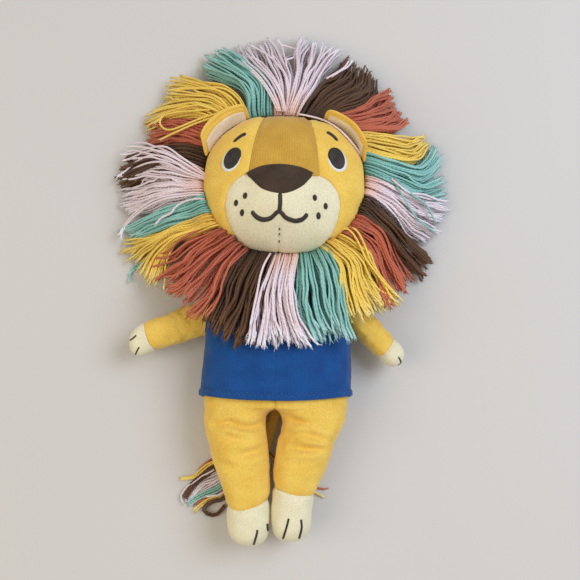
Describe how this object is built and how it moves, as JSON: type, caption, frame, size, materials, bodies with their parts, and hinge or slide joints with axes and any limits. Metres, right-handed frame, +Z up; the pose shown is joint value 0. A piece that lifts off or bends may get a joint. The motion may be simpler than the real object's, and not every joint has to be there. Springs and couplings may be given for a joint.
{
  "type": "stuffed lion toy",
  "caption": "Floppy stuffed lion lying on its back: flat-bodied rag doll with a stitched face, a shirt, a tufted tail and a mane of coloured yarn.",
  "frame": {"origin": "middle of the flat patch under the back, where the toy rests", "axes": "+Z up out of the belly, +Y towards the head, +X to the right of someone looking down at the belly"},
  "size_m": [0.2738, 0.4046, 0.0891],
  "materials": {
    "stuffing": "matte",
    "yellow_cloth": "brushed",
    "mustard_cloth": "brushed",
    "cream_cloth": "brushed",
    "brown_cloth": "satin",
    "blue_jersey": "matte",
    "dark_thread": "satin",
    "white_thread": "satin",
    "pink_yarn": "matte",
    "brown_yarn": "matte",
    "rust_yarn": "matte",
    "yellow_yarn": "matte",
    "teal_yarn": "matte"
  },
  "bodies": {
    "torso": {"torso_fill": "stuffing", "torso_skin": "yellow_cloth", "shirt_front": "blue_jersey", "shirt_back": "blue_jersey"},
    "head": {"head_fill": "stuffing", "head_back": "yellow_cloth", "forehead_panel": "mustard_cloth", "left_cheek": "yellow_cloth", "right_cheek": "yellow_cloth", "muzzle": "cream_cloth", "nose_patch": "brown_cloth", "mouth_stitching": "dark_thread", "left_eye_white": "white_thread", "left_eye": "dark_thread", "left_brow": "dark_thread", "right_eye_white": "white_thread", "right_eye": "dark_thread", "right_brow": "dark_thread", "mane_tape": "cream_cloth", "mane_tuft_01": "pink_yarn", "mane_tuft_02": "brown_yarn", "mane_tuft_03": "rust_yarn", "mane_tuft_04": "yellow_yarn", "mane_tuft_05": "teal_yarn", "mane_tuft_06": "pink_yarn", "mane_tuft_07": "brown_yarn", "mane_tuft_08": "rust_yarn", "mane_tuft_09": "yellow_yarn", "mane_tuft_10": "teal_yarn", "mane_tuft_11": "pink_yarn", "mane_tuft_12": "brown_yarn", "mane_tuft_13": "rust_yarn", "mane_tuft_14": "yellow_yarn", "mane_tuft_15": "teal_yarn", "mane_tuft_16": "pink_yarn", "mane_tuft_17": "brown_yarn", "mane_tuft_18": "rust_yarn", "mane_tuft_19": "yellow_yarn", "mane_tuft_20": "teal_yarn"},
    "left_arm": {"left_arm_skin": "yellow_cloth", "left_paw": "cream_cloth", "left_arm_fill": "stuffing"},
    "right_arm": {"right_arm_skin": "yellow_cloth", "right_paw": "cream_cloth", "right_arm_fill": "stuffing"},
    "left_leg": {"left_leg_skin": "yellow_cloth", "left_foot": "cream_cloth", "left_leg_fill": "stuffing"},
    "right_leg": {"right_leg_skin": "yellow_cloth", "right_foot": "cream_cloth", "right_leg_fill": "stuffing"},
    "left_ear": {"left_ear_back": "yellow_cloth", "left_ear_lining": "cream_cloth"},
    "right_ear": {"right_ear_back": "yellow_cloth", "right_ear_lining": "cream_cloth"},
    "tail": {"tail": "yellow_cloth", "tail_tuft": "rust_yarn"}
  },
  "joints": [
    {"name": "head_nod", "type": "hinge", "parent": "torso", "child": "head", "pos_m": [0, 0.07, 0.0253], "axis": [1, 0, 0], "range_deg": [-15, 25], "stiffness_Nm_per_rad": 0.15, "deforming": ["mane_tuft_09", "mane_tuft_10", "mane_tuft_11", "mane_tuft_12", "mane_tuft_13"]},
    {"name": "left_arm_swing", "type": "hinge", "parent": "torso", "child": "left_arm", "pos_m": [-0.0556, 0.008, 0.022], "axis": [0, 0, 1], "range_deg": [0, 45], "stiffness_Nm_per_rad": 0.01},
    {"name": "right_arm_swing", "type": "hinge", "parent": "torso", "child": "right_arm", "pos_m": [0.0556, 0.0178, 0.022], "axis": [0, 0, 1], "range_deg": [-35, 0], "stiffness_Nm_per_rad": 0.01},
    {"name": "left_leg_bend", "type": "hinge", "parent": "torso", "child": "left_leg", "pos_m": [-0.029, -0.045, 0.047], "axis": [-1, 0, 0], "range_deg": [0, 85], "stiffness_Nm_per_rad": 0.02},
    {"name": "right_leg_bend", "type": "hinge", "parent": "torso", "child": "right_leg", "pos_m": [0.029, -0.045, 0.047], "axis": [-1, 0, 0], "range_deg": [0, 85], "stiffness_Nm_per_rad": 0.02},
    {"name": "left_ear_fold", "type": "hinge", "parent": "head", "child": "left_ear", "pos_m": [-0.0461, 0.1608, 0.053], "axis": [-0.698, -0.7161, 0], "range_deg": [-35, 35], "stiffness_Nm_per_rad": 0.004},
    {"name": "right_ear_fold", "type": "hinge", "parent": "head", "child": "right_ear", "pos_m": [0.0461, 0.1608, 0.053], "axis": [0.698, -0.7161, 0], "range_deg": [-35, 25], "stiffness_Nm_per_rad": 0.004},
    {"name": "tail_swing", "type": "hinge", "parent": "torso", "child": "tail", "pos_m": [0, -0.0477, 0.0045], "axis": [0, 0, 1], "range_deg": [-35, 35], "stiffness_Nm_per_rad": 0.002}
  ]
}
